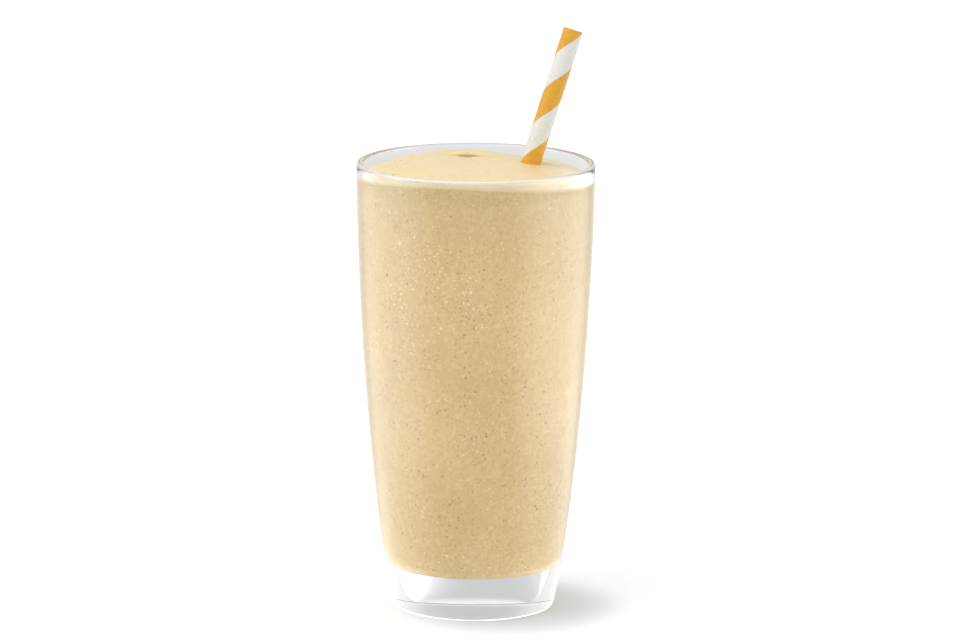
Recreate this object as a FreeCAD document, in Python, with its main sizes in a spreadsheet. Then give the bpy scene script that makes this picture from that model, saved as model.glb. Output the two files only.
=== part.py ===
import FreeCAD, Part
import math
import os

import Sketcher
from FreeCAD import Rotation, Vector

# A smoothie in its tall heavy-based glass, with a paper straw. Millimetres and degrees.
# The origin is the middle of the face that the glass stands on, +Z is up, the straw
# leans towards +X and a little towards +Y.

SIZES = (
    # glass
    ("glass_height", 170.5, "foot to lip"),
    ("rim_diameter", 90.0, "outside, at the lip"),
    ("rim_taper", 0.45, "lean of the side at the lip, degrees"),
    ("side_radius", 1240.0, "bow of the side above the heel"),
    ("heel_height", 41.0, "where the side meets the tighter heel"),
    ("heel_radius", 470.0, "bow of the heel"),
    ("wall", 2.4, "thickness of the side"),
    ("base_thickness", 16.5, "foot to the inner floor"),
    ("floor_round", 7.0, "inner corner at the floor"),
    ("lip_round", 1.1, "each edge of the lip"),
    ("foot_round", 0.8, "outer corner at the foot"),
    ("punt_radius", 24.0, "hollow under the foot"),
    ("punt_depth", 0.4, "its height in the middle"),
    # smoothie
    ("brim_gap", 3.7, "mean level at the wall, under the lip"),
    ("level_fall", 0.3, "how much lower it is at +X, higher at -X"),
    ("level_back", 0.2, "how much higher it is at +Y, lower at -Y"),
    ("level_saddle", 0.7, "how much lower it is at both X sides, higher at both Y sides"),
    ("level_twist", 0.5, "how much higher it is where X and Y have one sign, lower elsewhere"),
    ("mound_rise", 3.2, "height of the flat mound over the level at the wall"),
    ("mound_lean", 0.65, "share of that height moved from +X to -X"),
    ("curl_height", 2.2, "the curl that the pouring left"),
    ("curl_x", -1.1, "its middle"),
    ("curl_y", 21.8, "its middle"),
    ("curl_length", 10.0, "half its length, along X"),
    ("curl_width", 7.0, "half its width, along Y"),
    ("fold_depth", 0.9, "the crease in front of the curl"),
    ("fold_gap", 7.4, "crease to the middle of the curl"),
    ("fold_width", 2.2, "half the width of the crease"),
    ("dip_depth", 1.9, "the hollow between the curl and the straw"),
    ("dip_x", 14.5, "its middle"),
    ("dip_y", 33.5, "its middle"),
    ("dip_length", 8.0, "half its length, along X"),
    ("dip_width", 10.0, "half its width, along Y"),
    # straw
    ("straw_diameter", 7.6, "outside"),
    ("straw_wall", 0.5, "wound paper"),
    ("straw_length", 208.0, "end to end"),
    ("straw_heading", 25.3, "direction of the lean, degrees from +X to +Y"),
    ("straw_lift", 5.5, "middle of the lower end over the inner floor"),
    ("straw_clearance", 0.4, "lower end to the side of the glass"),
    ("straw_lip_gap", 15.0, "straw to the side of the glass, level with the lip"),
)

CROWN_ROOM = 6.0  # how far over the lip the smoothie's blank reaches; cut away again
SURFACE_STEP = 2.5  # pitch of the points that carry the smoothie's top surface

doc = FreeCAD.newDocument("Smoothie")
sheet = doc.addObject("Spreadsheet::Sheet", "Sizes")
for row, (alias, value, meaning) in enumerate(SIZES, start=1):
    sheet.set(f"A{row}", meaning)
    sheet.set(f"B{row}", str(value))
    sheet.setAlias(f"B{row}", alias)
doc.recompute()


def size(alias):
    return float(getattr(sheet, alias))


# ---- the side of the glass -----------------------------------------------------------
# Two tangent arcs, heel and side, seen in the XZ plane. The wall is even, so its inner
# face has the same centres and radii shorter by the wall.

SIDE_CENTRE_X = "Sizes.rim_diameter / 2 - Sizes.side_radius * cos(Sizes.rim_taper)"
SIDE_CENTRE_Z = "Sizes.glass_height + Sizes.side_radius * sin(Sizes.rim_taper)"
HEEL_CENTRE_Z = (
    "Sizes.heel_height + Sizes.heel_radius / Sizes.side_radius"
    f" * ({SIDE_CENTRE_Z} - Sizes.heel_height)"
)


def side_centre():
    taper = math.radians(size("rim_taper"))
    x = size("rim_diameter") / 2 - size("side_radius") * math.cos(taper)
    z = size("glass_height") + size("side_radius") * math.sin(taper)
    return Vector(x, z, 0)


def knee(inset):
    """Where heel and side meet, on the face that lies inset inside the outer one."""
    centre = side_centre()
    slope = math.asin((centre.y - size("heel_height")) / size("side_radius"))
    outward = Vector(math.cos(slope), -math.sin(slope), 0)
    return centre + outward * (size("side_radius") - inset), outward


def heel_centre():
    corner, outward = knee(0)
    return corner - outward * size("heel_radius")


def radius_at(height, inset):
    """Radius of the glass's face at a height, inset inside the outer face."""
    if height > knee(inset)[0].y:
        centre, bow = side_centre(), size("side_radius") - inset
    else:
        centre, bow = heel_centre(), size("heel_radius") - inset
    return centre.x + math.sqrt(bow**2 - (height - centre.y) ** 2)


def arc(centre, start, end):
    """Anticlockwise arc about centre, from start to end, in sketch coordinates."""
    circle = Part.Circle(centre, Vector(0, 0, 1), (start - centre).Length)
    first = math.atan2(start.y - centre.y, start.x - centre.x)
    last = math.atan2(end.y - centre.y, end.x - centre.x)
    return Part.ArcOfCircle(circle, first, last)


def sketch_on(body, role, name):
    """A sketch on one of the body's own origin planes."""
    plane = next(f for f in body.Origin.OriginFeatures if f.Role == role)
    sketch = body.newObject("Sketcher::SketchObject", name)
    sketch.AttachmentSupport = [(plane, "")]
    sketch.MapMode = "FlatFace"
    return sketch


def bind(sketch, kind, *where, to):
    """A constraint whose size is an expression over the sheet."""
    value = float(sketch.evalExpression(to))
    index = sketch.addConstraint(Sketcher.Constraint(kind, *where, value))
    sketch.setExpression(f"Constraints[{index}]", to)


def wall_section(body, name, bottom, top, inset):
    """Half section of a round solid inside the glass's side: floor, heel, side, top and axis.

    bottom, top and inset are expressions; inset is measured inwards from the outer face."""
    sketch = sketch_on(body, "XZ_Plane", name)
    low, high, gap = (float(sketch.evalExpression(e)) for e in (bottom, top, inset))
    middle, foot = Vector(0, low, 0), Vector(radius_at(low, gap), low, 0)
    bend = knee(gap)[0]
    lip, cap = Vector(radius_at(high, gap), high, 0), Vector(0, high, 0)
    floor, heel, side, roof, axis = sketch.addGeometry(
        [
            Part.LineSegment(middle, foot),
            arc(heel_centre(), foot, bend),
            arc(side_centre(), bend, lip),
            Part.LineSegment(lip, cap),
            Part.LineSegment(cap, middle),
        ],
        False,
    )
    start, end, centre, origin, upright = 1, 2, 3, -1, -2
    for before, after in ((floor, heel), (side, roof), (roof, axis), (axis, floor)):
        sketch.addConstraint(Sketcher.Constraint("Coincident", before, end, after, start))
    sketch.addConstraint(Sketcher.Constraint("Tangent", heel, end, side, start))
    sketch.addConstraint(Sketcher.Constraint("Horizontal", floor))
    sketch.addConstraint(Sketcher.Constraint("Horizontal", roof))
    sketch.addConstraint(Sketcher.Constraint("PointOnObject", axis, start, upright))
    sketch.addConstraint(Sketcher.Constraint("PointOnObject", axis, end, upright))
    bind(sketch, "DistanceY", origin, start, floor, start, to=bottom)
    bind(sketch, "DistanceY", origin, start, roof, end, to=top)
    bind(sketch, "Radius", side, to=f"Sizes.side_radius - ({inset})")
    bind(sketch, "Radius", heel, to=f"Sizes.heel_radius - ({inset})")
    bind(sketch, "DistanceX", origin, start, side, centre, to=SIDE_CENTRE_X)
    bind(sketch, "DistanceY", origin, start, side, centre, to=SIDE_CENTRE_Z)
    bind(sketch, "DistanceY", origin, start, heel, centre, to=HEEL_CENTRE_Z)
    return sketch


def turned(body, kind, sketch):
    """A full turn of the sketch about its upright axis: a Revolution or a Groove."""
    feature = body.newObject(f"PartDesign::{kind}", f"{sketch.Name}_turn")
    feature.Profile = sketch
    feature.ReferenceAxis = (sketch, ["V_Axis"])
    feature.Angle = 360
    sketch.Visibility = False
    doc.recompute()
    return feature


def ring_edge(shape, radius, height):
    """Name of the shape's round edge nearest to a radius and a height."""

    def miss(numbered):
        box = numbered[1].BoundBox
        return abs(box.XMax - radius) + abs(box.ZMax - height) + abs(box.ZMin - height)

    return f"Edge{min(enumerate(shape.Edges, start=1), key=miss)[0]}"


def rounded(body, name, radius, *rings):
    """A fillet on round edges, each given as (radius, height); its own radius is an expression."""
    before = body.Tip
    fillet = body.newObject("PartDesign::Fillet", name)
    fillet.Base = (before, [ring_edge(before.Shape, *ring) for ring in rings])
    fillet.setExpression("Radius", radius)
    doc.recompute()


# ---- glass ---------------------------------------------------------------------------


def punt_section(body):
    """Half section of the shallow dome under the foot."""
    sketch = sketch_on(body, "XZ_Plane", "punt")
    radius, depth = size("punt_radius"), size("punt_depth")
    bow = (radius**2 + depth**2) / (2 * depth)
    middle, crown, ring = Vector(0, 0, 0), Vector(0, depth, 0), Vector(radius, 0, 0)
    base, dome, axis = sketch.addGeometry(
        [
            Part.LineSegment(middle, ring),
            arc(Vector(0, depth - bow, 0), ring, crown),
            Part.LineSegment(crown, middle),
        ],
        False,
    )
    start, end, centre, origin, upright = 1, 2, 3, -1, -2
    for before, after in ((base, dome), (dome, axis), (axis, base)):
        sketch.addConstraint(Sketcher.Constraint("Coincident", before, end, after, start))
    sketch.addConstraint(Sketcher.Constraint("Coincident", base, start, origin, start))
    sketch.addConstraint(Sketcher.Constraint("Horizontal", base))
    sketch.addConstraint(Sketcher.Constraint("PointOnObject", axis, start, upright))
    sketch.addConstraint(Sketcher.Constraint("PointOnObject", dome, centre, upright))
    bind(sketch, "DistanceX", origin, start, base, end, to="Sizes.punt_radius")
    bind(sketch, "DistanceY", origin, start, axis, start, to="Sizes.punt_depth")
    return sketch


def make_glass():
    """Blank turned to the outer face, then the bore, the punt and the rounded edges."""
    body = doc.addObject("PartDesign::Body", "glass")
    top, floor, wall = size("glass_height"), size("base_thickness"), size("wall")
    turned(body, "Revolution", wall_section(body, "blank", "0", "Sizes.glass_height", "0"))
    for cutter in (
        wall_section(body, "bore", "Sizes.base_thickness", "Sizes.glass_height", "Sizes.wall"),
        punt_section(body),
    ):
        uncut = body.Shape.Volume
        turned(body, "Groove", cutter)
        if body.Shape.Volume >= uncut:
            raise RuntimeError(f"{cutter.Label} cuts nothing")
    rounded(body, "floor_corner", "Sizes.floor_round", (radius_at(floor, wall), floor))
    lip = (radius_at(top, 0), top), (radius_at(top, wall), top)
    rounded(body, "lip", "min(Sizes.lip_round; 0.48 * Sizes.wall)", *lip)
    rounded(body, "foot", "Sizes.foot_round", (radius_at(0, 0), 0))
    return body


# ---- straw ---------------------------------------------------------------------------
# It leans in a plane through the glass's axis. Its lower end stands in the corner of the
# floor, opposite to the lean, and it passes the lip at a named gap.


def corner_radius(height):
    """Radius of the bore at a height, the rounded corner at the floor included."""
    corner = size("floor_round")
    under = max(0.0, size("base_thickness") + corner - height)
    return radius_at(height, size("wall")) - corner + math.sqrt(corner**2 - under**2)


def straw_line():
    """Middle of the straw's lower end, and its direction. Neither changes after a few rounds."""
    half, heading = size("straw_diameter") / 2, math.radians(size("straw_heading"))
    outward, up = Vector(math.cos(heading), math.sin(heading), 0), Vector(0, 0, 1)
    low, high = size("base_thickness") + size("straw_lift"), size("glass_height")
    lean = 0.0
    for _ in range(30):
        edge = corner_radius(low + half * math.sin(lean)) - size("straw_clearance")
        foot = half * math.cos(lean) - edge
        side = radius_at(high, size("wall")) - size("straw_lip_gap")
        lean = math.atan2(side - half / math.cos(lean) - foot, high - low)
    return outward * foot + up * low, outward * math.sin(lean) + up * math.cos(lean)


def make_straw():
    """A ring padded to the straw's length, then set in the glass."""
    body = doc.addObject("PartDesign::Body", "straw")
    sketch = sketch_on(body, "XY_Plane", "straw_end")
    centre, origin, start = 3, -1, 1
    for radius in ("Sizes.straw_diameter / 2", "Sizes.straw_diameter / 2 - Sizes.straw_wall"):
        circle = Part.Circle(Vector(), Vector(0, 0, 1), float(sketch.evalExpression(radius)))
        ring = sketch.addGeometry(circle, False)
        sketch.addConstraint(Sketcher.Constraint("Coincident", ring, centre, origin, start))
        bind(sketch, "Radius", ring, to=radius)
    pad = body.newObject("PartDesign::Pad", "straw_tube")
    pad.Profile = sketch
    pad.setExpression("Length", "Sizes.straw_length")
    sketch.Visibility = False
    foot, direction = straw_line()
    body.Placement = FreeCAD.Placement(foot, Rotation(Vector(0, 0, 1), direction))
    doc.recompute()
    return body


# ---- smoothie ------------------------------------------------------------------------


def swell(x, y, middle, spread):
    """A smooth bump of height 1 about middle, spread along X and Y."""
    across = (x - middle[0]) / spread[0]
    along = (y - middle[1]) / spread[1]
    return math.exp(-(across**2) - along**2)


def surface_height(x, y):
    """Height of the smoothie's top: a level that varies round the wall, a flat mound, and
    the curl, fold and dip that the pouring left."""
    bore = radius_at(size("glass_height"), size("wall"))
    u, v = x / bore, y / bore
    tilt = size("level_back") * v - size("level_fall") * u
    warp = 2 * size("level_twist") * u * v - size("level_saddle") * (u * u - v * v)
    mound = size("mound_rise") * (1 - (u * u + v * v) ** 2) * (1 - size("mound_lean") * u)
    curl = size("curl_x"), size("curl_y")
    fold = curl[0], curl[1] - size("fold_gap")
    dip = size("dip_x"), size("dip_y")
    length = size("curl_length")
    return (
        size("glass_height")
        - size("brim_gap")
        + tilt
        + warp
        + mound
        + size("curl_height") * swell(x, y, curl, (length, size("curl_width")))
        - size("fold_depth") * swell(x, y, fold, (length, size("fold_width")))
        - size("dip_depth") * swell(x, y, dip, (size("dip_length"), size("dip_width")))
    )


def make_headroom():
    """All that lies over the smoothie's surface, as a block on a smooth patch."""
    feature = doc.addObject("Part::Feature", "headroom")
    reach = size("rim_diameter") / 2 + SURFACE_STEP
    steps = math.ceil(2 * reach / SURFACE_STEP)
    along = [-reach + 2 * reach * step / steps for step in range(steps + 1)]
    patch = Part.BSplineSurface()
    patch.interpolate([[Vector(x, y, surface_height(x, y)) for y in along] for x in along])
    feature.Shape = patch.toShape().extrude(Vector(0, 0, 4 * CROWN_ROOM))
    return feature


def make_smoothie(straw):
    """The bore's own form, cut off at the poured surface and cut round the straw."""
    body = doc.addObject("PartDesign::Body", "smoothie_blank")
    floor, wall = size("base_thickness"), size("wall")
    crown = f"Sizes.glass_height + {CROWN_ROOM}"
    section = wall_section(body, "smoothie_side", "Sizes.base_thickness", crown, "Sizes.wall")
    turned(body, "Revolution", section)
    rounded(body, "smoothie_corner", "Sizes.floor_round", (radius_at(floor, wall), floor))
    poured = doc.addObject("Part::Cut", "poured")
    poured.Base, poured.Tool = body, make_headroom()
    smoothie = doc.addObject("Part::Cut", "smoothie")
    smoothie.Base, smoothie.Tool = poured, straw
    doc.recompute()
    return smoothie


# ---- the part ------------------------------------------------------------------------


def check(nodes):
    for item in doc.Objects:
        if {"Invalid", "Error"} & set(item.State):
            raise RuntimeError(f"{item.Label} failed: {item.State}")
    for node in nodes:
        shape = node.Shape
        if shape.isNull() or not shape.isValid() or len(shape.Solids) != 1:
            raise RuntimeError(f"{node.Label} is not one valid solid")


glass = make_glass()
straw = make_straw()
smoothie = make_smoothie(straw)
doc.recompute()
check((glass, smoothie, straw))

os.makedirs("parts", exist_ok=True)
for node in (glass, smoothie, straw):
    node.Shape.exportStep(f"parts/{node.Label}.step")
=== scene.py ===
import math

import bpy
from mathutils import Matrix, Vector, noise


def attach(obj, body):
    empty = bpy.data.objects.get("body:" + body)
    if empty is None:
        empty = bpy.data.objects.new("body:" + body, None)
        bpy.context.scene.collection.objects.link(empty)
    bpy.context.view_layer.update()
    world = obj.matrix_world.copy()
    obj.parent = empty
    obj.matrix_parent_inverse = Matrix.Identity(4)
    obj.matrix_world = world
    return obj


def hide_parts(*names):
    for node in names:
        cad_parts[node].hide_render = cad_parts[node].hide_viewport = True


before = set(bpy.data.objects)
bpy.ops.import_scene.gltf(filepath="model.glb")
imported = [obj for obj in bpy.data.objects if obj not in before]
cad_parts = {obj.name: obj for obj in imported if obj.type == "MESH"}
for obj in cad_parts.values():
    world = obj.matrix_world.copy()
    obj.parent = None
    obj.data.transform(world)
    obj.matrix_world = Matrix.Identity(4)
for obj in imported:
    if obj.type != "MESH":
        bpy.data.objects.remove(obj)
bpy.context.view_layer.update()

# A peanut butter smoothie in its tall glass, with a striped paper straw. The glass stands
# on the origin, +Z is up, and the side that the camera shows faces -Y. Sizes of the object
# are in millimetres, as in the CAD, and MM turns them into the scene's metres. Materials and
# the studio are in metres, as Blender gives them.

MM = 0.001

# glass
GLASS_HEIGHT = 170.5
RIM_RADIUS = 45.0
RIM_TAPER = math.radians(0.45)
SIDE_BOW = 1240.0
HEEL_HEIGHT = 41.0
HEEL_BOW = 470.0
WALL = 2.4
FLOOR = 16.5
FLOOR_ROUND = 7.0
LIP_ROUND = 1.1
FOOT_ROUND = 0.35  # the CAD has 0.8, which would show as a thick line through the foot
PUNT_RADIUS = 24.0
PUNT_DEPTH = 0.4

# smoothie
BRIM_GAP = 3.7
LEVEL_FALL = 0.3  # how much lower the surface is at +X, and higher at -X
LEVEL_BACK = 0.2  # how much higher it is at +Y, and lower at -Y
LEVEL_SADDLE = 0.7  # how much lower it is at both X sides, and higher at both Y sides
LEVEL_TWIST = 0.5  # how much higher it is where X and Y have one sign, and lower elsewhere
MOUND_RISE = 3.2
MOUND_LEAN = 0.65  # share of that height moved from +X to -X
CURL = (-1.1, 21.8)  # middle of the surface's raised curl, of its dip and of its crease
CURL_RISE = 1.4
DIP = (14.5, 33.5)
DIP_FALL = 1.9
CREASE = (-3.2, 14.2)
CREASE_FALL = 0.35
BITE = 0.25  # how far the smoothie reaches into the wall, so that no air shows between them

# straw
STRAW_RADIUS = 3.8
STRAW_WALL = 0.5
STRIPE_PITCH = 27.5  # along the straw, for one orange and one white stripe
STRIPE_START = 5.4  # from the top end down to the first edge of a stripe, on the side shown
STRIPE_STEP = 0.07  # how much lower the white paper lies than the orange
WET_RISE = 150.0  # from the straw's foot up to where it leaves the drink

SEGMENTS = 256


# ---- the side of the glass -----------------------------------------------------------
# Two tangent arcs, heel and side, as in the CAD. An inner face has the same centres.

SIDE_CENTRE = Vector(
    (
        RIM_RADIUS - SIDE_BOW * math.cos(RIM_TAPER),
        GLASS_HEIGHT + SIDE_BOW * math.sin(RIM_TAPER),
    )
)
SIDE_SLOPE = math.asin((SIDE_CENTRE.y - HEEL_HEIGHT) / SIDE_BOW)
SIDE_OUTWARD = Vector((math.cos(SIDE_SLOPE), -math.sin(SIDE_SLOPE)))
HEEL_CENTRE = SIDE_CENTRE + SIDE_OUTWARD * (SIDE_BOW - HEEL_BOW)


def side_arc(height, inset):
    """Centre and radius of the side's arc at a height, inset inside its outer face."""
    knee = SIDE_CENTRE + SIDE_OUTWARD * (SIDE_BOW - inset)
    if height > knee.y:
        return SIDE_CENTRE, SIDE_BOW - inset
    return HEEL_CENTRE, HEEL_BOW - inset


def radius_at(height, inset=0.0):
    centre, bow = side_arc(height, inset)
    return centre.x + math.sqrt(bow**2 - (height - centre.y) ** 2)


def side_angle(height, inset=0.0):
    """Direction in which the side faces at a height: 0 is level, negative is downwards."""
    centre, bow = side_arc(height, inset)
    return math.asin((height - centre.y) / bow)


def corner(height, inset, radius, start, end, steps=8):
    """Points of a round corner whose centre lies at a height, inset inside the side."""
    middle = Vector((radius_at(height, inset), height))
    turns = (start + (end - start) * step / steps for step in range(steps + 1))
    return [middle + radius * Vector((math.cos(turn), math.sin(turn))) for turn in turns]


def side_points(bottom, top, inset, steps=64):
    """Points up or down the side, without its two ends."""
    heights = (bottom + (top - bottom) * step / steps for step in range(1, steps))
    return [Vector((radius_at(height, inset), height)) for height in heights]


BORE = radius_at(GLASS_HEIGHT, WALL)
QUARTER = math.pi / 2


# ---- how the drink lies --------------------------------------------------------------
# u and v are X and Y, 1 at the wall. They may be numbers or Values, as the surface's mesh and
# its material both use these.


def tilted(u, v):
    """How far the drink's surface tilts and warps, in millimetres."""
    tilt = LEVEL_BACK * v - LEVEL_FALL * u
    return tilt + 2 * LEVEL_TWIST * u * v - LEVEL_SADDLE * (u * u - v * v)


def settled(u, v):
    """How far the surface has settled at the wall, in millimetres: mostly on both sides."""
    return -0.6 - 0.3 * u - 0.3 * v - 0.9 * (u * u - v * v)


# ---- meshes --------------------------------------------------------------------------


def piece(name, points, faces, material, smooth=True):
    """An object from points in millimetres."""
    mesh = bpy.data.meshes.new(name)
    mesh.from_pydata([Vector(point) * MM for point in points], [], faces)
    mesh.polygons.foreach_set("use_smooth", [smooth] * len(mesh.polygons))
    mesh.materials.append(material)
    thing = bpy.data.objects.new(name, mesh)
    bpy.context.scene.collection.objects.link(thing)
    return thing


def turned(profile, height=None):
    """Points and faces of a solid turned about the axis.

    profile runs from the axis under the solid, round its outside, to the axis on top of it.
    height(x, y, z) may give a point another height."""
    first, *rings, last = profile
    points = [(0.0, 0.0, first[1])]
    for radius, level in rings:
        for step in range(SEGMENTS):
            turn = 2 * math.pi * step / SEGMENTS
            points.append((radius * math.cos(turn), radius * math.sin(turn), level))
    points.append((0.0, 0.0, last[1]))
    if height:
        points = [(x, y, height(x, y, z)) for x, y, z in points]
    faces = []
    top = len(points) - 1
    for step in range(SEGMENTS):
        near, far = 1 + step, 1 + (step + 1) % SEGMENTS
        faces.append((0, far, near))
        for ring in range(len(rings) - 1):
            low, high = ring * SEGMENTS, (ring + 1) * SEGMENTS
            faces.append((near + low, far + low, far + high, near + high))
        edge = (len(rings) - 1) * SEGMENTS
        faces.append((near + edge, far + edge, top))
    return points, faces


# ---- node trees ----------------------------------------------------------------------


class Value:
    """A socket that arithmetic can be done with: each operation adds its Math node."""

    def __init__(self, tree, socket):
        self.tree = tree
        self.socket = socket

    def math(self, operation, *others):
        inputs = dict(enumerate((self, *others)))
        return self.tree.add("ShaderNodeMath", {"operation": operation}, inputs).out()

    def __add__(self, other):
        return self.math("ADD", other)

    def __sub__(self, other):
        return self.math("SUBTRACT", other)

    def __rsub__(self, other):
        return self.math("MULTIPLY_ADD", -1.0, other)

    def __mul__(self, other):
        return self.math("MULTIPLY", other)

    def __truediv__(self, other):
        return self.math("DIVIDE", other)

    def __pow__(self, other):
        return self.math("POWER", other)

    __radd__ = __add__
    __rmul__ = __mul__


class Step:
    """A node that was added to a tree."""

    def __init__(self, tree, node):
        self.tree = tree
        self.node = node

    def out(self, name=0):
        return Value(self.tree, self.node.outputs[name])


class Tree:
    """Adds nodes to a node tree."""

    def __init__(self, tree):
        self.nodes = tree.nodes
        self.links = tree.links

    def add(self, kind, settings=None, inputs=None):
        """A node of a kind. Its settings are made first, then its sockets are set or linked."""
        node = self.nodes.new(kind)
        for name, setting in (settings or {}).items():
            setattr(node, name, setting)
        for name, given in (inputs or {}).items():
            if isinstance(given, Value):
                self.links.new(given.socket, node.inputs[name])
            else:
                node.inputs[name].default_value = given
        return Step(self, node)

    def blend(self, factor, first, second, how="MIX"):
        """Mixes two colours. Sockets 6 and 7 of the Mix node are its A and B for colours."""
        settings = {"data_type": "RGBA", "blend_type": how}
        return self.add("ShaderNodeMix", settings, {0: factor, 6: first, 7: second}).out(2)

    def mix_shaders(self, factor, first, second):
        return self.add("ShaderNodeMixShader", None, {0: factor, 1: first, 2: second}).out()

    def diffuse(self, colour):
        return self.add("ShaderNodeBsdfDiffuse", None, {"Color": colour}).out()

    def principled(self, sockets):
        return self.add("ShaderNodeBsdfPrincipled", None, sockets).out()

    def axes(self, vector):
        """The three numbers of a vector."""
        parts = self.add("ShaderNodeSeparateXYZ", None, {0: vector})
        return parts.out("X"), parts.out("Y"), parts.out("Z")

    def place(self):
        """Place on the piece, in metres."""
        return self.add("ShaderNodeTexCoord").out("Object")

    def noise(self, where, scale, detail=2.0, roughness=0.5):
        inputs = {"Vector": where, "Scale": scale, "Detail": detail, "Roughness": roughness}
        return self.add("ShaderNodeTexNoise", None, inputs).out("Fac")

    def dots(self, where, scale, reach, share, channel):
        """Soft dots, 1 in the middle, round a share of many scattered points. reach is how far
        from its point a dot starts and ends to fade, in cells; a channel of the point's random
        colour picks the points."""
        cells = self.add("ShaderNodeTexVoronoi", None, {"Vector": where, "Scale": scale})
        chance = self.add("ShaderNodeSeparateColor", None, {0: cells.out("Color")}).out(channel)
        picked = self.fade(chance, 1 - share - 0.04, 1 - share)
        return (1 - self.fade(cells.out("Distance"), *reach)) * picked

    def fade(self, value, low, high):
        """0 where the value is low or less, 1 where it is high or more, smooth between."""
        inputs = {"Value": value, 1: low, 2: high}
        return self.add("ShaderNodeMapRange", {"interpolation_type": "SMOOTHSTEP"}, inputs).out()

    def bump(self, height, depth):
        """A relief of that depth, in metres, where the height goes from 0 to 1."""
        inputs = {"Height": height, "Distance": depth, "Strength": 1.0}
        return self.add("ShaderNodeBump", None, inputs).out()


def srgb(red, green, blue):
    """Linear colour from one written in the usual 0 to 255."""
    return tuple(
        v / 12.92 if v <= 0.04045 else ((v + 0.055) / 1.055) ** 2.4
        for v in (red / 255, green / 255, blue / 255)
    ) + (1.0,)


def new_material(name):
    """A material and its tree, empty but for the output."""
    material = bpy.data.materials.new(name)
    material.use_nodes = True
    material.node_tree.nodes.clear()
    return material, Tree(material.node_tree)


def finish_with(tree, surface):
    tree.add("ShaderNodeOutputMaterial", None, {"Surface": surface})


# ---- materials -----------------------------------------------------------------------


def clear_glass():
    """Colourless pressed glass, with the faint waves and smears of a glass in use.

    A white diffuse mixed into the front half of its lip is a painted highlight. Lamps shine through
    the glass, but only half of their light comes through the thick foot, so that it throws a
    shadow."""
    material, tree = new_material("clear_glass")
    where = tree.place()
    smears = tree.fade(tree.noise(where, 90.0, 4.0, 0.6), 0.45, 0.75)
    waves = tree.noise(where, 40.0, 1.0)
    pressed = tree.principled(
        {
            "Base Color": (0.985, 0.99, 0.99, 1.0),
            "Roughness": smears * 0.02,
            "IOR": 1.5,
            "Transmission Weight": 1.0,
            "Normal": tree.bump(waves, 0.00006),
        }
    )
    _, back, height = tree.axes(where)
    lip = tree.fade(height, (GLASS_HEIGHT - 1.3) * MM, (GLASS_HEIGHT - 0.4) * MM)
    in_front = 1 - tree.fade(back, -0.04, 0.034)
    # painted highlight: a white diffuse on the front half of the lip
    painted_lip_highlight = tree.diffuse((0.88, 0.91, 0.95, 1.0))
    surface = tree.mix_shaders(lip * in_front * 0.5, pressed, painted_lip_highlight)
    foot = 1 - tree.fade(height, FLOOR * MM, (FLOOR + 6) * MM)
    lamp_ray = tree.add("ShaderNodeLightPath").out("Is Shadow Ray")
    open_way = tree.add("ShaderNodeBsdfTransparent", None, {"Color": (0.97, 0.97, 0.97, 1.0)}).out()
    finish_with(tree, tree.mix_shaders(lamp_ray * (1 - foot * 0.5), surface, open_way))
    return material


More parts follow.
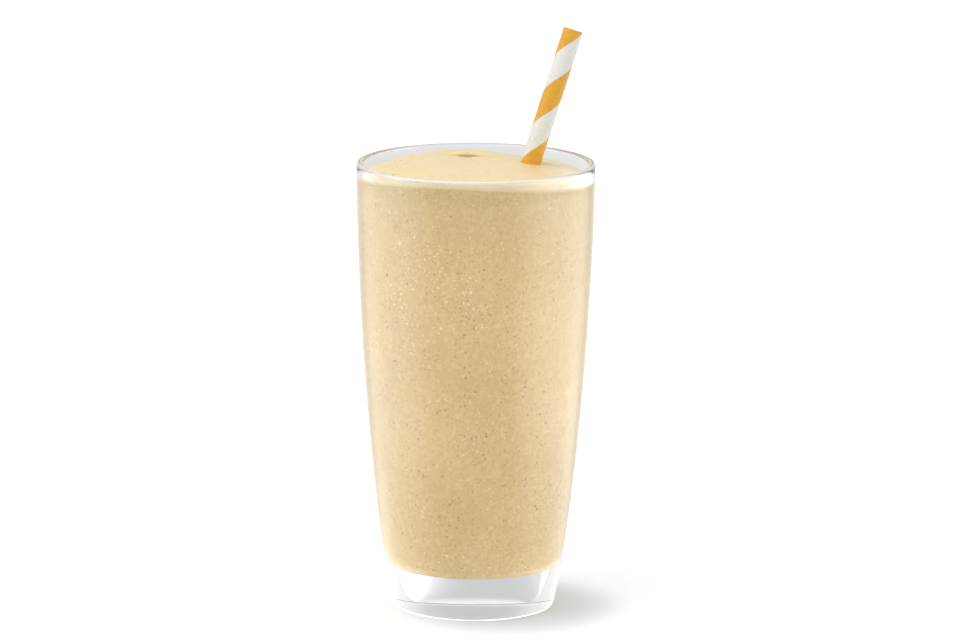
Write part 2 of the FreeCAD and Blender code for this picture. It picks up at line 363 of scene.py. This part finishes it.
def blended_drink():
    """Milk, banana and ground peanut: creamy, finely grained, with soft paler and darker clouds.

    Against the glass it has a painted highlight along its edge, and painted shade below that. On
    top it is painted paler, as lit from above, and palest, painted light, where it runs out thin on
    both sides; painted shade darkens it by the front lip and in the crease."""
    material, tree = new_material("blended_drink")
    where = tree.place()
    x, y, z = (axis * (1 / MM) for axis in tree.axes(where))
    u, v = x * (1 / BORE), y * (1 / BORE)
    spread = u * u + v * v
    under = (tilted(u, v) + settled(u, v) + (GLASS_HEIGHT - BRIM_GAP)) - z
    on_top = 1 - tree.fade(under, -0.1, 0.1)
    on_wall = tree.fade(spread, 0.9, 0.98) * (1 - on_top)

    # the blend itself
    clouds = tree.fade(tree.noise(where, 28.0, 3.0, 0.55), 0.3, 0.7)
    grain = tree.noise(where, 900.0, 3.0, 0.7)
    mottle = tree.fade(tree.noise(where, 430.0, 2.0, 0.6), 0.48, 0.72)
    flecks = tree.dots(where, 620.0, (0.12, 0.3), 0.34, "Red")
    foam = tree.dots(where, 480.0, (0.1, 0.34), 0.36, "Green")
    base = tree.blend(clouds, srgb(215, 188, 128), srgb(225, 199, 141))
    base = tree.blend(tree.fade(grain, 0.35, 0.7) * 0.55, base, srgb(200, 172, 110))
    base = tree.blend(mottle * 0.36, base, srgb(238, 214, 162))
    base = tree.blend(flecks * 0.4, base, srgb(176, 144, 90))
    base = tree.blend(foam * 0.4, base, srgb(242, 222, 172))

    # painted shade and painted light at the edge and on top
    # painted shade: darker below the edge against the glass, most in the middle of the side
    painted_shade_below_edge = tree.fade(under, 0.5, 4.0) * (1 - tree.fade(under, 4.0, 30.0))
    middle = 1 - tree.fade(u * u, 0.2, 0.85)
    base = tree.blend(on_wall * painted_shade_below_edge * middle * 0.3, base, srgb(228, 228, 226), "MULTIPLY")
    # painted light: the top is paler, as lit from above
    base = tree.blend(on_top * 0.35, base, srgb(248, 229, 192))
    # painted shade: darker on top by the front lip
    painted_shade_by_front_lip = on_top * tree.fade(v * -1, 0.05, 0.6) * tree.fade(spread, 0.7, 0.86)
    base = tree.blend(painted_shade_by_front_lip, base, srgb(228, 227, 222), "MULTIPLY")
    # painted light: paler where the top runs out thin on both sides
    painted_light_at_thin_ends = tree.fade(u, 0.6, 0.95) + tree.fade(u * -1, 0.85, 1.0)
    base = tree.blend(painted_light_at_thin_ends * on_top * (1 - painted_shade_by_front_lip) * 0.6, base, srgb(255, 247, 228))
    # painted highlight: a pale line where the drink meets the glass
    painted_highlight_edge_line = on_wall * (1 - tree.fade(under, 0.3, 1.3))
    base = tree.blend(painted_highlight_edge_line * 0.6, base, srgb(246, 230, 190))

    # painted shade in the crease: a short wedge on a longer thin line
    beside, before = x - CREASE[0], y - CREASE[1]
    painted_shade_wedge = (beside * 0.22) ** 2 + (before * 0.42) ** 2
    line = (beside * 0.09) ** 2 + (before * 0.7) ** 2
    crease = (1 - tree.fade(painted_shade_wedge, 0.1, 1.2)) * 0.7 + (1 - tree.fade(line, 0.1, 1.1)) * 0.35
    crease = crease.math("MINIMUM", 1.0) * tree.fade(z, 160.0, 166.0)
    base = tree.blend(crease, base, srgb(176, 136, 80))

    relief = tree.noise(where, 350.0, 4.0, 0.6) - foam * 0.4
    surface = tree.principled(
        {
            "Base Color": base,
            "Roughness": 0.3 + grain * 0.2,
            "Specular IOR Level": 0.45,
            "Normal": tree.bump(relief, 0.00012),
        }
    )
    finish_with(tree, surface)
    return material


def nut_skin():
    """Specks of ground nut and its skin, light to dark tan."""
    material, tree = new_material("nut_skin")
    where = tree.place()
    shade = tree.fade(tree.noise(where, 160.0, 1.0), 0.35, 0.65)
    surface = tree.principled(
        {
            "Base Color": tree.blend(shade, srgb(184, 152, 101), srgb(214, 186, 134)),
            "Roughness": 0.45 + tree.noise(where, 2500.0) * 0.3,
            "Normal": tree.bump(tree.noise(where, 3000.0), 0.00005),
        }
    )
    finish_with(tree, surface)
    return material


def froth():
    """Bubbles of the drink, ivory, against the glass."""
    material, tree = new_material("froth")
    where = tree.place()
    shade = tree.fade(tree.noise(where, 130.0, 1.0), 0.35, 0.65)
    surface = tree.principled(
        {
            "Base Color": tree.blend(shade, srgb(232, 208, 158), srgb(253, 237, 198)),
            "Roughness": 0.4 + tree.noise(where, 2500.0) * 0.2,
        }
    )
    finish_with(tree, surface)
    return material


def striped_paper():
    """Wound paper with one orange and one white stripe, darker where it stands in the drink and
    just above: wet paper, and painted contact shade.

    The straw's UV map holds turns round it and stripes along it, so that an edge of a stripe
    lies where their difference is whole."""
    material, tree = new_material("striped_paper")
    where = tree.place()
    around, along, _ = tree.axes(tree.add("ShaderNodeUVMap").out())
    wobble = (tree.noise(where, 250.0, 3.0) - 0.5) * 0.012
    phase = (along - around + wobble).math("FRACT")
    orange = tree.fade(phase, 0.0, 0.006) * (1 - tree.fade(phase, 0.497, 0.503))
    fibres = tree.noise(where, 1400.0, 4.0, 0.65)
    pulp = tree.fade(fibres, 0.3, 0.75)
    cloud = tree.fade(tree.noise(where, 140.0, 2.0), 0.35, 0.75)
    ink = tree.blend(pulp, srgb(212, 152, 32), srgb(229, 174, 50))
    ink = tree.blend(cloud * 0.35, ink, srgb(208, 144, 34))
    sheet = tree.blend(pulp, srgb(216, 215, 208), srgb(228, 227, 221))
    base = tree.blend(orange, sheet, ink)
    # the paper rounds off, and is darker, along the edges of the stripes
    off_edge = (phase - 0.5).math("ABSOLUTE")
    flat = tree.fade(off_edge, 0.0, 0.012) * (1 - tree.fade(off_edge, 0.488, 0.5))
    base = tree.blend((1 - flat) * 0.35, base, srgb(170, 150, 110))
    # darker up to just above the drink's level: wet paper, and painted contact shade
    x, _, z = (axis * (1 / MM) for axis in tree.axes(where))
    wet_and_contact_shade = 1 - tree.fade(z + x * 0.2, WET_HEIGHT - 1.0, WET_HEIGHT + 2.5)
    base = tree.blend(wet_and_contact_shade * 0.6, base, srgb(236, 204, 186), "MULTIPLY")
    surface = tree.principled(
        {
            "Base Color": base,
            "Roughness": 0.42 + fibres * 0.25,
            "Specular IOR Level": 0.4,
            "Sheen Weight": 0.6,
            "Sheen Roughness": 0.35,
            "Subsurface Weight": 0.15,
            "Subsurface Radius": (1.0, 0.9, 0.7),
            "Subsurface Scale": 0.0008,
            "Normal": tree.bump(fibres * 0.6 + flat * 0.4, 0.00006),
        }
    )
    finish_with(tree, surface)
    return material


# ---- glass ---------------------------------------------------------------------------


def glass_profile():
    """Punt, foot, side, lip, bore and floor."""
    bow = (PUNT_RADIUS**2 + PUNT_DEPTH**2) / (2 * PUNT_DEPTH)
    spread = math.asin(PUNT_RADIUS / bow)
    punt = [
        Vector((bow * math.sin(turn), PUNT_DEPTH - bow + bow * math.cos(turn)))
        for turn in (spread * step / 12 for step in range(13))
    ]
    lip_level = GLASS_HEIGHT - LIP_ROUND
    floor_level = FLOOR + FLOOR_ROUND
    foot_face = side_angle(FOOT_ROUND, FOOT_ROUND)
    floor_face = side_angle(floor_level, WALL + FLOOR_ROUND)
    foot = corner(FOOT_ROUND, FOOT_ROUND, FOOT_ROUND, -QUARTER, foot_face, 12)
    lip_out = corner(lip_level, LIP_ROUND, LIP_ROUND, side_angle(lip_level), QUARTER)
    lip_in = corner(lip_level, WALL - LIP_ROUND, LIP_ROUND, QUARTER, 2 * QUARTER)
    inner_corner = corner(floor_level, WALL + FLOOR_ROUND, FLOOR_ROUND, floor_face, -QUARTER, 16)
    ring = Vector(((punt[-1].x + foot[0].x) / 2, 0.0))
    plate = [Vector((inner_corner[-1].x * share, FLOOR)) for share in (0.8, 0.6, 0.4, 0.2, 0.0)]
    return [
        *punt,
        ring,
        *foot,
        *side_points(foot[-1].y, lip_out[0].y, 0.0),
        *lip_out,
        *lip_in,
        *side_points(lip_in[-1].y, inner_corner[0].y, WALL),
        *inner_corner,
        *plate,
    ]


def make_glass():
    return piece("drinking_glass", *turned(glass_profile()), clear_glass())


# ---- smoothie ------------------------------------------------------------------------


def swell(x, y, middle, spread):
    """A smooth bump of height 1 about middle, spread along X and Y."""
    return math.exp(-(((x - middle[0]) / spread[0]) ** 2) - ((y - middle[1]) / spread[1]) ** 2)


def poured_level(x, y):
    """The CAD's surface, settled along the wall, and with a lower and longer curl. The CAD's
    fold in front of the curl is left to ripple()."""
    u, v = x / BORE, y / BORE
    spread = u * u + v * v
    level = GLASS_HEIGHT - BRIM_GAP + tilted(u, v) + settled(u, v) * spread**2
    mound = MOUND_RISE * (1 - spread**2) * (1 - MOUND_LEAN * u)
    curl = CURL_RISE * swell(x, y, CURL, (14.0, 7.0))
    dip = DIP_FALL * swell(x, y, DIP, (8.0, 10.0))
    return level + mound + curl - dip


def ripple(x, y):
    """What the pouring left on the mound: soft uneven waves, and one short crease."""
    reach = max(0.0, 1 - (math.hypot(x, y) / BORE) ** 4)
    waves = 0.2 * noise.noise(Vector((x / 14, y / 9, 3.1))) * reach
    waves += 0.12 * noise.noise(Vector((x / 5, y / 3.5, 7.7))) * reach
    crease = swell(x, y, CREASE, (3.6, 2.6))
    line = swell(x, y, CREASE, (10.0, 1.4))
    return waves - CREASE_FALL * crease - 0.2 * line


def straw_axis():
    """Middle of the straw's lower and upper end, from the CAD's own straw, in millimetres."""
    corners = [vertex.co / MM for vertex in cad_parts["straw"].data.vertices]
    middle = sum((point.z for point in corners)) / len(corners)
    ends = []
    for half in (
        [point for point in corners if point.z < middle],
        [point for point in corners if point.z >= middle],
    ):
        low = Vector(min(point[axis] for point in half) for axis in range(3))
        high = Vector(max(point[axis] for point in half) for axis in range(3))
        ends.append((low + high) / 2)
    return ends


STRAW_FOOT, STRAW_TOP = straw_axis()
STRAW_LENGTH = (STRAW_TOP - STRAW_FOOT).length
STRAW_DIRECTION = (STRAW_TOP - STRAW_FOOT).normalized()


def off_straw(point):
    """Distance from the straw's outer face."""
    across = point - STRAW_FOOT
    along = across.dot(STRAW_DIRECTION)
    return (across - STRAW_DIRECTION * along).length - STRAW_RADIUS


# level of the drink at the straw
WET_HEIGHT = poured_level(*(STRAW_FOOT + STRAW_DIRECTION * (WET_RISE / STRAW_DIRECTION.z)).xy)


def surface_height(x, y):
    """The poured surface with its ripples, drawn down a little round the straw."""
    level = poured_level(x, y) + ripple(x, y)
    gap = max(0.0, off_straw(Vector((x, y, level))))
    return level - 0.1 * math.exp(-gap / 0.7)


def make_smoothie():
    """Fills the bore, up to the poured surface, and bites a little into the wall."""
    inset = WALL - BITE
    floor_level = FLOOR + FLOOR_ROUND
    inner_round = FLOOR_ROUND + BITE
    face = side_angle(floor_level, WALL + FLOOR_ROUND)
    bottom = corner(floor_level, WALL + FLOOR_ROUND, inner_round, -QUARTER, face, 16)
    under = [Vector((bottom[0].x * share, bottom[0].y)) for share in (0.0, 0.25, 0.5, 0.75)]
    rings = 110
    edge = BORE + BITE
    # the rings on top lie a little closer together towards the wall
    top = [Vector((edge * (1 - (step / rings) ** 1.15), GLASS_HEIGHT)) for step in range(rings + 1)]
    # the side's rings stop under the lowest edge of the surface, whose ring then rises and falls
    under_edge = GLASS_HEIGHT - 8.0
    side = side_points(bottom[-1].y, under_edge, inset, 60)

    def height(x, y, z):
        return surface_height(x, y) if z == GLASS_HEIGHT else z

    profile = [*under, *bottom, *side, *top]
    return piece("smoothie_fill", *turned(profile, height), blended_drink())


# ---- straw ---------------------------------------------------------------------------


def make_straw():
    """A tube of wound paper: outer face, upper end, bore and lower end in one closed strip."""
    around_steps, outer_steps, inner_steps = 72, 260, 52
    front = Vector((0.0, -1.0, 0.0))
    front = (front - STRAW_DIRECTION * front.dot(STRAW_DIRECTION)).normalized()
    side = STRAW_DIRECTION.cross(front)
    inner = STRAW_RADIUS - STRAW_WALL
    outline = [(STRAW_RADIUS, STRAW_LENGTH * step / outer_steps) for step in range(outer_steps + 1)]
    outline += [(inner, STRAW_LENGTH * (1 - step / inner_steps)) for step in range(inner_steps + 1)]
    points, chart = [], []
    for radius, along in outline:
        stripes = (along - STRAW_LENGTH + STRIPE_START) / STRIPE_PITCH
        for step in range(around_steps + 1):
            turn = 2 * math.pi * step / around_steps
            chart.append((step / around_steps, stripes))
            if step == around_steps:
                continue
            phase = (stripes - step / around_steps) % 1.0
            orange = min(1.0, 40 * min(phase, abs(0.5 - phase))) if phase < 0.5 else 0.0
            lower = 0.0 if radius == inner else STRIPE_STEP * (1 - orange)
            direction = front * math.cos(turn) + side * math.sin(turn)
            points.append(STRAW_FOOT + STRAW_DIRECTION * along + direction * (radius - lower))
    faces, corners = [], []
    rings = len(outline)
    for ring in range(rings):
        above = (ring + 1) % rings
        for step in range(around_steps):
            beside = (step + 1) % around_steps
            faces.append(
                (
                    ring * around_steps + step,
                    ring * around_steps + beside,
                    above * around_steps + beside,
                    above * around_steps + step,
                )
            )
            across = around_steps + 1
            corners += [
                chart[ring * across + step],
                chart[ring * across + step + 1],
                chart[above * across + step + 1],
                chart[above * across + step],
            ]
    straw = piece("paper_straw", points, faces, striped_paper())
    layer = straw.data.uv_layers.new(name="winding")
    layer.data.foreach_set("uv", [value for pair in corners for value in pair])
    return straw


# ---- what is scattered ---------------------------------------------------------------


def scatter_tree(material):
    """Flattened grains scattered over the faces of a mesh, as thick as its coverage says.

    Returns the node group and the identifier of each of its sockets, by name."""
    group = bpy.data.node_groups.new("scatter", "GeometryNodeTree")
    sockets = {}
    for name, kind in (
        ("Skin", "Geometry"),
        ("Spacing", "Float"),
        ("Crowd", "Float"),
        ("Smallest", "Float"),
        ("Largest", "Float"),
        ("Flatness", "Float"),
        ("Lift", "Float"),
        ("Sides", "Int"),
        ("Rings", "Int"),
        ("Seed", "Int"),
    ):
        socket = group.interface.new_socket(name, in_out="INPUT", socket_type=f"NodeSocket{kind}")
        sockets[name] = socket.identifier
    group.interface.new_socket("Grains", in_out="OUTPUT", socket_type="NodeSocketGeometry")
    tree = Tree(group)
    given = tree.add("NodeGroupInput")
    coverage = tree.add(
        "GeometryNodeInputNamedAttribute", {"data_type": "FLOAT"}, {"Name": "coverage"}
    ).out("Attribute")
    strewn = tree.add(
        "GeometryNodeDistributePointsOnFaces",
        {"distribute_method": "POISSON"},
        {
            "Mesh": given.out("Skin"),
            "Distance Min": given.out("Spacing"),
            "Density Max": given.out("Crowd"),
            "Density Factor": coverage,
            "Seed": given.out("Seed"),
        },
    )
    lifted = tree.add(
        "ShaderNodeVectorMath",
        {"operation": "SCALE"},
        {0: strewn.out("Normal"), "Scale": given.out("Lift")},
    ).out()
    seated = tree.add(
        "GeometryNodeSetPosition", None, {"Geometry": strewn.out("Points"), "Offset": lifted}
    )

    def drawn(low, high, row):
        """A number drawn for each grain; each row has draws of its own."""
        inputs = {2: low, 3: high, "Seed": given.out("Seed") + row}
        return tree.add("FunctionNodeRandomValue", {"data_type": "FLOAT"}, inputs).out(1)

    smallest, largest = given.out("Smallest"), given.out("Largest")
    long = smallest + (largest - smallest) * drawn(0.0, 1.0, 1) ** 2.5
    wide = long * drawn(0.35, 1.3, 2)
    thick = long * given.out("Flatness")
    shape = tree.add("ShaderNodeCombineXYZ", None, {0: long, 1: wide, 2: thick}).out()
    spin = drawn(0.0, 2 * math.pi, 3)
    about = tree.add("ShaderNodeCombineXYZ", None, {2: spin}).out()
    facing = tree.add(
        "FunctionNodeRotateEuler",
        {"rotation_type": "EULER", "space": "LOCAL"},
        {0: strewn.out("Rotation"), 1: about},
    ).out()
    ball = tree.add(
        "GeometryNodeMeshUVSphere",
        None,
        {"Segments": given.out("Sides"), "Rings": given.out("Rings"), "Radius": 1.0},
    ).out("Mesh")
    placed = tree.add(
        "GeometryNodeInstanceOnPoints",
        None,
        {"Points": seated.out(), "Instance": ball, "Rotation": facing, "Scale": shape},
    ).out()
    solid = tree.add("GeometryNodeRealizeInstances", None, {0: placed}).out()
    soft = tree.add("GeometryNodeSetShadeSmooth", None, {"Geometry": solid}).out()
    painted = tree.add(
        "GeometryNodeSetMaterial", None, {"Geometry": soft, "Material": material}
    ).out()
    tree.add("NodeGroupOutput", None, {0: painted})
    return group, sockets


def scattered(name, skin, coverage, material, **sizes):
    """A mesh of grains on the skin, another object. coverage(point) is from 0 to 1; sizes in mm."""
    mesh = skin.data.copy()
    layer = mesh.attributes.new("coverage", "FLOAT", "POINT")
    layer.data.foreach_set("value", [coverage(vertex.co / MM) for vertex in mesh.vertices])
    carrier = bpy.data.objects.new(f"{name}_carrier", mesh)
    bpy.context.scene.collection.objects.link(carrier)
    group, sockets = scatter_tree(material)
    modifier = carrier.modifiers.new("scatter", "NODES")
    modifier.node_group = group
    for given, size in sizes.items():
        modifier[sockets[given]] = size
    graph = bpy.context.evaluated_depsgraph_get()
    grains = bpy.data.meshes.new_from_object(carrier.evaluated_get(graph))
    bpy.data.objects.remove(carrier)
    grains.name = name
    thing = bpy.data.objects.new(name, grains)
    bpy.context.scene.collection.objects.link(thing)
    return thing


def window(value, low, high, soft):
    """1 between low and high, falling to 0 over soft beyond either."""
    rise = min(1.0, max(0.0, (value - low) / soft + 1))
    fall = min(1.0, max(0.0, (high - value) / soft + 1))
    return rise * rise * (3 - 2 * rise) * fall * fall * (3 - 2 * fall)


def bearing(point):
    """Direction of a point from the axis in degrees: 0 faces the camera's side, 90 is +X."""
    return math.degrees(math.atan2(point.x, -point.y))


def patches(point, size, seed):
    """Uneven cover, from 0 to 1, in patches of about that size."""
    value = noise.noise(point / size + Vector((0.0, 0.0, seed)))
    return min(1.0, max(0.0, 0.5 + 1.3 * value))


def on_side(point):
    return FLOOR + 1 < point.z < GLASS_HEIGHT - BRIM_GAP - 2.5


def speck_cover(point):
    """Ground nut everywhere against the glass, in uneven patches, and hardly any on top."""
    if not on_side(point):
        return 0.0 if point.z < FLOOR + 1 else 0.05
    clear_top = window(point.z, 0, 132, 20)
    return (0.3 + 0.5 * patches(point, 14, 5.0)) * (0.55 + 0.45 * clear_top)


def froth_cover(point):
    """Fine bubbles, thickest low on the right."""
    if not on_side(point):
        return 0.0
    gathered = window(point.z, 30, 90, 14) * window(bearing(point), 50, 110, 14)
    return max(gathered, 0.2 + 0.5 * patches(point, 11, 9.0))


def bead_cover(point):
    """Larger bubbles gather in a patch high on the left of the side shown."""
    height, turn = point.z, bearing(point)
    if not on_side(point):
        return 0.0
    gathered = window(height, 112, 142, 12) * window(turn, -52, -6, 14)
    return max(gathered * (0.3 + 0.7 * patches(point, 9, 4.0)), 0.06 * patches(point, 16, 8.0))


def make_scattered(smoothie):
    ivory = froth()
    specks = scattered(
        "specks", smoothie, speck_cover, nut_skin(),
        Spacing=0.75 * MM, Crowd=580000.0, Smallest=0.12 * MM, Largest=0.55 * MM,
        Flatness=0.25, Sides=6, Rings=3, Seed=37, Lift=-0.01 * MM,
    )
    bubbles = scattered(
        "bubbles", smoothie, froth_cover, ivory,
        Spacing=0.8 * MM, Crowd=380000.0, Smallest=0.12 * MM, Largest=0.4 * MM,
        Flatness=0.3, Sides=6, Rings=3, Seed=53, Lift=-0.02 * MM,
    )
    beads = scattered(
        "beads", smoothie, bead_cover, ivory,
        Spacing=1.5 * MM, Crowd=300000.0, Smallest=0.3 * MM, Largest=0.75 * MM,
        Flatness=0.35, Sides=8, Rings=5, Seed=11, Lift=-0.05 * MM,
    )
    return specks, bubbles, beads


# ---- studio --------------------------------------------------------------------------


def make_floor():
    """A plain pale floor, lifted to white for what the camera sees, but less beside the foot,
    where this paints a shadow over the real one.

    What glass and drink mirror of it is brighter on both sides, as of white cards that lie
    there. Through the glass it shows painted shade straight behind and painted light elsewhere,
    and is darkest along one slanting line."""
    material, tree = new_material("studio_floor")
    rays = tree.add("ShaderNodeLightPath")
    across, back, _ = tree.axes(tree.place())
    distance = (across * across + back * back) ** 0.5
    slant = across / back.math("MAXIMUM", 0.001)

    # seen straight: white, except beside the foot, where a lower lift paints the shadow over the
    # real one
    beside, before = across - 0.014, back + 0.008
    outside_painted_shadow = tree.fade((beside * beside + before * before) ** 0.5, 0.024, 0.052)
    plain = 0.03 + outside_painted_shadow * 0.27 + tree.fade(distance, 0.1, 0.6) * 0.18

    # mirrored: a card on each side, dimmer near the foot
    right = tree.fade(across, -0.01, 0.01)
    near = 0.6 - right * 0.25
    reach = near + tree.fade(distance, 0.04, 0.28) * (1 - near)
    reach = reach * (1 - tree.fade(distance, 0.9, 1.7))
    aside = across.math("ABSOLUTE") / distance
    cards = tree.fade(aside, 0.55, 1.0) * reach * (1.9 + right * 0.4)

    # through the glass: painted shade taken away straight behind, and painted light added elsewhere
    depth = 0.08 + tree.fade(back, 0.04, 0.08) * 0.56 - tree.fade(back, 0.15, 0.45) * 0.3
    width = (1 - tree.fade(slant, 0.0, 0.5)) * (1 - tree.fade(slant * -1, 0.3, 0.75) * 0.15)
    dark_edge = (1 - tree.fade((slant + 0.65).math("ABSOLUTE"), 0.015, 0.04)) * 0.6
    painted_shade_and_dark_line = (depth * width).math("MAXIMUM", dark_edge)
    in_front = 1 - tree.fade(back, -0.03, 0.01)
    left_foot = tree.fade(across * -1, 0.0, 0.022) * (1 - tree.fade(back, 0.025, 0.045))
    painted_light_through_glass = 0.06 + in_front * 0.3 + tree.fade(slant, 0.1, 0.45) * 0.14 + left_foot * 0.17

    seen, mirrored = rays.out("Is Camera Ray"), rays.out("Is Glossy Ray")
    through = rays.out("Is Transmission Ray")
    black, pale = tree.diffuse((0.0, 0.0, 0.0, 1.0)), tree.diffuse((0.77, 0.795, 0.84, 1.0))
    matt = tree.mix_shaders(1 - through * painted_shade_and_dark_line, black, pale)
    lift = seen * plain + mirrored * (0.24 + cards) + through * painted_light_through_glass
    glow = tree.add("ShaderNodeEmission", None, {"Strength": lift}).out()
    finish_with(tree, tree.add("ShaderNodeAddShader", None, {0: matt, 1: glow}).out())
    half = 3000.0
    points = [(-half, -half, 0.0), (half, -half, 0.0), (half, half, 0.0), (-half, half, 0.0)]
    floor = piece("floor", points, [(0, 1, 2, 3)], material, smooth=False)


def make_world():
    """White all round, and dimmer towards the room on the side of the camera."""
    world = bpy.data.worlds.new("studio")
    bpy.context.scene.world = world
    world.use_nodes = True
    world.node_tree.nodes.clear()
    tree = Tree(world.node_tree)
    _, back, up = tree.axes(tree.add("ShaderNodeTexCoord").out("Generated"))
    rays = tree.add("ShaderNodeLightPath")
    seen, through = rays.out("Is Camera Ray"), rays.out("Is Transmission Ray")
    mirrored = (rays.out("Is Glossy Ray") + through).math("MINIMUM", 1.0)
    room = tree.fade(back * -1, 0.35, 0.9)
    grey = tree.fade(back, 0.75, 0.97) * (1 - tree.fade(up, 0.3, 0.5)) * through
    strength = 0.648 + seen * 0.352 + mirrored * (0.152 - room * 0.28) - grey * 0.224
    white = (1.0, 1.0, 1.0, 1.0)
    light = tree.add("ShaderNodeBackground", None, {"Color": white, "Strength": strength})
    tree.add("ShaderNodeOutputWorld", None, {"Surface": light.out()})


def panel(name, place, target, width, height, radiance, mirror_only=False):
    """A soft light panel, in metres; radiance is how bright it looks, 1 being white."""
    lamp = bpy.data.lights.new(name, "AREA")
    lamp.shape = "RECTANGLE"
    lamp.size = width
    lamp.size_y = height
    lamp.energy = radiance * math.pi * width * height
    thing = bpy.data.objects.new(name, lamp)
    bpy.context.scene.collection.objects.link(thing)
    look = Vector(target) - Vector(place)
    thing.location = place
    thing.rotation_euler = look.to_track_quat("-Z", "Y").to_euler()
    thing.visible_camera = False
    thing.visible_transmission = False
    if mirror_only:
        thing.visible_diffuse = False
    return thing


def round_table(turn, distance, height):
    """A place at that bearing from the glass: 0 is towards the camera, 90 is to the right."""
    turn = math.radians(turn)
    return Vector((distance * math.sin(turn), -distance * math.cos(turn), height))


def make_lights():
    middle = Vector((0.0, 0.0, 0.09))
    panel("top_left_soft", round_table(-65, 0.75, 1.35), middle, 1.0, 1.0, 1.8)
    panel("top_soft", round_table(165, 0.3, 1.45), middle, 1.2, 1.2, 1.1)
    panel("left_soft", round_table(-70, 1.35, 0.6), middle, 0.9, 0.9, 1.1)
    panel("right_soft", round_table(75, 1.35, 0.5), middle, 0.9, 0.9, 1.05)
    panel("front_soft", round_table(-6, 2.0, 0.4), middle, 1.8, 0.9, 1.22)
    panel("left_edge", round_table(-82, 1.3, 0.45), middle, 0.6, 1.2, 2.0, True)
    panel("right_edge", round_table(82, 1.3, 0.45), middle, 0.6, 1.2, 1.5, True)


def make_camera():
    """Looks a little down on the glass from in front."""
    data = bpy.data.cameras.new("camera")
    data.sensor_width = 36.0
    data.lens = 167.1
    data.clip_start = 0.05
    camera = bpy.data.objects.new("camera", data)
    bpy.context.scene.collection.objects.link(camera)
    down, aside, roll = math.radians(11.643), math.radians(0.067), math.radians(0.394)
    look = Vector(
        (math.sin(aside) * math.cos(down), math.cos(aside) * math.cos(down), -math.sin(down))
    )
    level = Vector((math.cos(aside), -math.sin(aside), 0.0))
    upright = level.cross(look)
    right = level * math.cos(roll) + upright * math.sin(roll)
    up = upright * math.cos(roll) - level * math.sin(roll)
    turn = Matrix((right, up, -look)).transposed().to_4x4()
    place = Matrix.Translation((0.0, -1.6528, 0.4503))
    camera.matrix_world = place @ turn
    bpy.context.scene.camera = camera


# ---- the part ------------------------------------------------------------------------

glass = make_glass()
smoothie = make_smoothie()
straw = make_straw()
specks, bubbles, beads = make_scattered(smoothie)

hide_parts("glass")
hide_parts("smoothie")
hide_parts("straw")
for thing in (glass, smoothie, straw, specks, bubbles, beads):
    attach(thing, "root")

make_floor()
make_world()
make_lights()
make_camera()
bpy.context.scene.view_settings.view_transform = "Standard"
